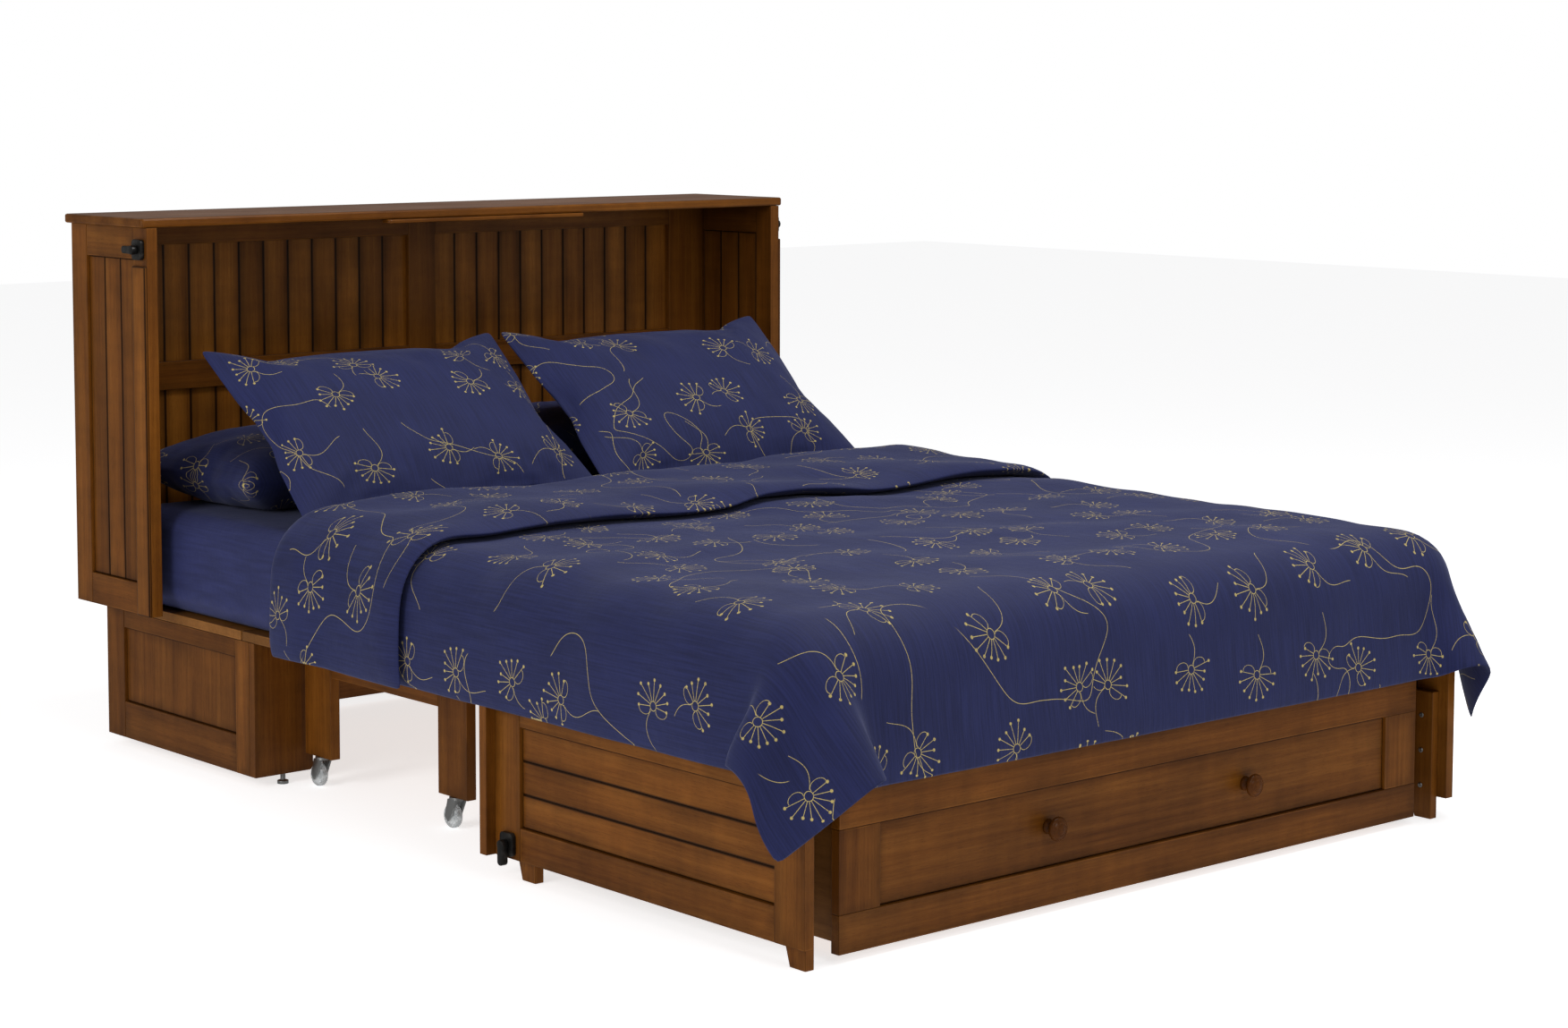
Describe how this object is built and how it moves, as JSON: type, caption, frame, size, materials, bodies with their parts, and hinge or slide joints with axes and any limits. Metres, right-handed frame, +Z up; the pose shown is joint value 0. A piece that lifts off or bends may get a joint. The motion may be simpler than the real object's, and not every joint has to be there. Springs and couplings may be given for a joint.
{
  "type": "murphy cabinet bed",
  "caption": "Cabinet bed standing open: headboard cabinet on a rear base, rolling middle frame, front base with a drawer, deck, mattress, duvet and pillows.",
  "frame": {"origin": "on the floor at the middle of the whole object", "axes": "+X to the right seen from the foot, +Y from the foot to the head, +Z up"},
  "size_m": [1.7, 2.239, 1.078],
  "materials": {
    "frame_wood": "satin brown stain with darker worn edges",
    "panel_wood": "satin brown stain on grooved planks",
    "deck_wood": "clear satin lacquer on a paler wood",
    "latch_metal": "black satin enamel",
    "steel": "zinc plated",
    "clear_plastic": "clear wheels",
    "sheet_fabric": "plain navy cotton sheet",
    "cover_fabric": "navy cotton with a printed gold seed-head pattern"
  },
  "bodies": {
    "bed": {"cabinet_side_left": "frame_wood", "cabinet_side_right": "frame_wood", "cabinet_top": "frame_wood", "lift_strip": "frame_wood", "headboard_frame": "frame_wood", "headboard_panel_left": "panel_wood", "headboard_panel_right": "panel_wood", "rear_base_side_left": "frame_wood", "rear_base_front_left": "frame_wood", "rear_base_side_right": "frame_wood", "rear_base_front_right": "frame_wood", "rear_base_back": "frame_wood", "levelling_foot_front_left": "steel", "levelling_foot_front_right": "steel", "levelling_foot_back_left": "steel", "levelling_foot_back_right": "steel", "middle_leg_front_left": "frame_wood", "middle_leg_back_left": "frame_wood", "middle_apron_left": "frame_wood", "middle_leg_front_right": "frame_wood", "middle_leg_back_right": "frame_wood", "middle_apron_right": "frame_wood", "front_base_side_left": "frame_wood", "front_base_post_left": "frame_wood", "front_base_leg_front_left": "frame_wood", "front_base_leg_back_left": "frame_wood", "front_base_side_right": "frame_wood", "front_base_post_right": "frame_wood", "front_base_leg_front_right": "frame_wood", "front_base_leg_back_right": "frame_wood", "front_base_rail": "frame_wood", "cabinet_latch_plate_left": "latch_metal", "front_latch_plate_left": "latch_metal", "cabinet_latch_plate_right": "latch_metal", "front_latch_plate_right": "latch_metal", "deck_front": "deck_wood", "deck_middle": "deck_wood", "deck_rear": "deck_wood", "mattress": "sheet_fabric", "duvet": "cover_fabric", "pillow_rear_left": "cover_fabric", "pillow_front_left": "cover_fabric", "pillow_rear_right": "cover_fabric", "pillow_front_right": "cover_fabric"},
    "drawer": {"drawer_front": "frame_wood", "drawer_box": "deck_wood", "drawer_knob_left": "frame_wood", "drawer_knob_right": "frame_wood"},
    "cabinet_latch_left": {"cabinet_latch_lever_left": "latch_metal"},
    "front_latch_left": {"front_latch_lever_left": "latch_metal"},
    "cabinet_latch_right": {"cabinet_latch_lever_right": "latch_metal"},
    "front_latch_right": {"front_latch_lever_right": "latch_metal"},
    "caster_front_left": {"caster_fork_front_left": "steel"},
    "wheel_front_left": {"caster_wheel_front_left": "clear_plastic"},
    "caster_front_right": {"caster_fork_front_right": "steel"},
    "wheel_front_right": {"caster_wheel_front_right": "clear_plastic"},
    "caster_back_left": {"caster_fork_back_left": "steel"},
    "wheel_back_left": {"caster_wheel_back_left": "clear_plastic"},
    "caster_back_right": {"caster_fork_back_right": "steel"},
    "wheel_back_right": {"caster_wheel_back_right": "clear_plastic"}
  },
  "joints": [
    {"name": "drawer_slide", "type": "slide", "parent": "bed", "child": "drawer", "axis": [0, -1, 0], "range_m": [0, 0.45]},
    {"name": "cabinet_latch_turn_left", "type": "hinge", "parent": "bed", "child": "cabinet_latch_left", "pos_m": [-0.8213, 0.8395, 1.017], "axis": [-1, 0, 0], "range_deg": [0, 90]},
    {"name": "front_latch_turn_left", "type": "hinge", "parent": "bed", "child": "front_latch_left", "pos_m": [-0.8033, -0.3305, 0.065], "axis": [-1, 0, 0], "range_deg": [0, 90]},
    {"name": "cabinet_latch_turn_right", "type": "hinge", "parent": "bed", "child": "cabinet_latch_right", "pos_m": [0.8213, 0.8395, 1.017], "axis": [-1, 0, 0], "range_deg": [0, 90]},
    {"name": "front_latch_turn_right", "type": "hinge", "parent": "bed", "child": "front_latch_right", "pos_m": [0.8033, -0.3305, 0.065], "axis": [-1, 0, 0], "range_deg": [0, 90]},
    {"name": "caster_swivel_front_left", "type": "hinge", "parent": "bed", "child": "caster_front_left", "pos_m": [-0.646, 0.0295, 0.059], "axis": [0, 0, 1], "continuous": true},
    {"name": "wheel_spin_front_left", "type": "hinge", "parent": "caster_front_left", "child": "wheel_front_left", "pos_m": [-0.646, 0.0425, 0.022], "axis": [1, 0, 0], "continuous": true},
    {"name": "caster_swivel_front_right", "type": "hinge", "parent": "bed", "child": "caster_front_right", "pos_m": [0.646, 0.0295, 0.059], "axis": [0, 0, 1], "continuous": true},
    {"name": "wheel_spin_front_right", "type": "hinge", "parent": "caster_front_right", "child": "wheel_front_right", "pos_m": [0.646, 0.0425, 0.022], "axis": [1, 0, 0], "continuous": true},
    {"name": "caster_swivel_back_left", "type": "hinge", "parent": "bed", "child": "caster_back_left", "pos_m": [-0.646, 0.4695, 0.059], "axis": [0, 0, 1], "continuous": true},
    {"name": "wheel_spin_back_left", "type": "hinge", "parent": "caster_back_left", "child": "wheel_back_left", "pos_m": [-0.646, 0.4825, 0.022], "axis": [1, 0, 0], "continuous": true},
    {"name": "caster_swivel_back_right", "type": "hinge", "parent": "bed", "child": "caster_back_right", "pos_m": [0.646, 0.4695, 0.059], "axis": [0, 0, 1], "continuous": true},
    {"name": "wheel_spin_back_right", "type": "hinge", "parent": "caster_back_right", "child": "wheel_back_right", "pos_m": [0.646, 0.4825, 0.022], "axis": [1, 0, 0], "continuous": true}
  ]
}
